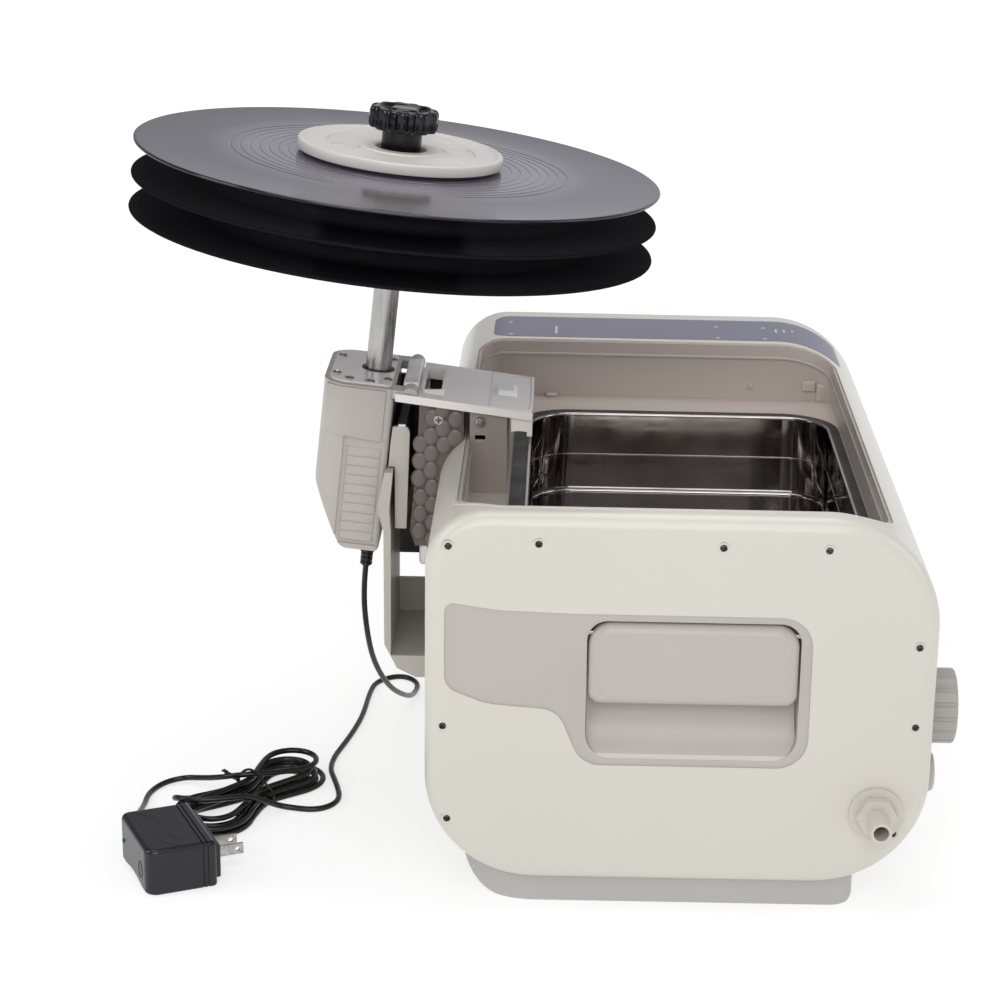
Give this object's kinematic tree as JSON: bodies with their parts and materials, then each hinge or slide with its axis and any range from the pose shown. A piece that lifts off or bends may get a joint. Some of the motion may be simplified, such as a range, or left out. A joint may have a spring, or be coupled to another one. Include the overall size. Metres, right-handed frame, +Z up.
{
  "type": "record cleaning machine",
  "caption": "Bath machine with a swing-up motorised rack that lifts clamped records out to drip dry, drain tap, carry handles and a corded adapter.",
  "frame": {"origin": "middle of the plinth's underside on the floor, under the centre of the casing", "axes": "+X to the casing's right side (drain knob), +Y to the control panel end, +Z up"},
  "size_m": [0.4704, 0.4895, 0.408],
  "materials": {
    "cream_plastic": "satin",
    "light_grey_plastic": "satin",
    "plinth_grey": "satin",
    "warm_grey_plastic": "satin",
    "panel_film": "satin",
    "polished_steel": "polished",
    "brushed_steel": "brushed",
    "screw_steel": "polished",
    "black_plastic": "gloss",
    "black_matte": "matte",
    "black_rubber": "matte",
    "vinyl": "gloss",
    "clamp_grey": "satin",
    "pad_brown": "matte",
    "ceramic_white": "matte",
    "board_green": "satin",
    "cord_black": "satin"
  },
  "bodies": {
    "machine": {"base_plinth": "plinth_grey", "rubber_feet": "black_rubber", "centre_shell": "cream_plastic", "near_end_cover": "cream_plastic", "far_end_cover": "cream_plastic", "cover_screws": "screw_steel", "control_panel": "panel_film", "deck_lining": "warm_grey_plastic", "deck_ledge": "warm_grey_plastic", "tank": "polished_steel", "tank_flange": "polished_steel", "transducers": "brushed_steel", "heater_pad": "black_rubber", "circuit_board": "board_green", "board_standoffs": "black_matte", "handle_insert_near": "light_grey_plastic", "handle_insert_far": "light_grey_plastic", "handle_pins": "screw_steel", "drain_flange": "clamp_grey", "drain_nut": "clamp_grey", "drain_spout": "clamp_grey", "drain_valve_body": "black_matte", "drain_pipe": "black_rubber", "side_cap": "light_grey_plastic", "power_inlet": "black_matte", "inlet_pins": "screw_steel", "rest_arm": "cream_plastic", "hanger_plate": "light_grey_plastic", "hanger_back": "black_matte", "hanger_leg": "warm_grey_plastic", "wall_pad": "pad_brown", "hanger_screws": "screw_steel", "hanger_latch": "clamp_grey", "hinge_pin": "screw_steel", "cord_drop": "cord_black", "cord_hank": "cord_black", "cord_tail": "cord_black", "adapter_body": "black_plastic", "adapter_blades": "screw_steel"},
    "swing_head": {"motor_housing": "light_grey_plastic", "motor_cover": "light_grey_plastic", "bearing_plate": "light_grey_plastic", "plate_screws": "screw_steel", "gear_motor": "brushed_steel", "dc_jack": "light_grey_plastic", "dc_plug": "black_plastic"},
    "record_stack": {"spindle_shaft": "brushed_steel", "lower_hub": "black_matte", "record_top": "vinyl", "record_middle": "vinyl", "record_bottom": "vinyl", "spacer_upper": "black_rubber", "spacer_lower": "black_rubber", "label_seal": "black_rubber", "clamp_plate": "clamp_grey"},
    "knob_washer": {"knob_washer": "black_matte"},
    "clamp_knob": {"clamp_knob": "black_plastic"},
    "drain_knob": {"drain_knob": "light_grey_plastic"},
    "handle_near": {"handle_grip_near": "light_grey_plastic"},
    "handle_far": {"handle_grip_far": "light_grey_plastic"}
  },
  "joints": [
    {"name": "rack_tilt", "type": "hinge", "parent": "machine", "child": "swing_head", "pos_m": [-0.154, -0.037, 0.247], "axis": [0, 1, 0], "range_deg": [0, 84]},
    {"name": "record_spin", "type": "hinge", "parent": "swing_head", "child": "record_stack", "pos_m": [-0.17494, -0.037, 0.25164], "axis": [0.1011, 0, 0.9949], "continuous": true},
    {"name": "knob_lift", "type": "slide", "parent": "record_stack", "child": "knob_washer", "axis": [0.1011, 0, 0.9949], "range_m": [0, 0.00375]},
    {"name": "clamp_knob_turn", "type": "hinge", "parent": "knob_washer", "child": "clamp_knob", "pos_m": [-0.16155, -0.037, 0.38346], "axis": [0.1011, 0, 0.9949], "range_deg": [0, 1080]},
    {"name": "drain_knob_turn", "type": "hinge", "parent": "machine", "child": "drain_knob", "pos_m": [0.137, -0.18, 0.104], "axis": [1, 0, 0], "range_deg": [0, 90]},
    {"name": "near_handle_fold", "type": "hinge", "parent": "machine", "child": "handle_near", "pos_m": [0.00635, -0.226, 0.1605], "axis": [-1, 0, 0], "range_deg": [0, 80]},
    {"name": "far_handle_fold", "type": "hinge", "parent": "machine", "child": "handle_far", "pos_m": [-0.00635, 0.226, 0.1605], "axis": [1, 0, 0], "range_deg": [0, 80]}
  ],
  "couplings": [
    {"joint": "clamp_knob_turn", "follows": "knob_lift", "rad_per_m": 5026.5}
  ]
}
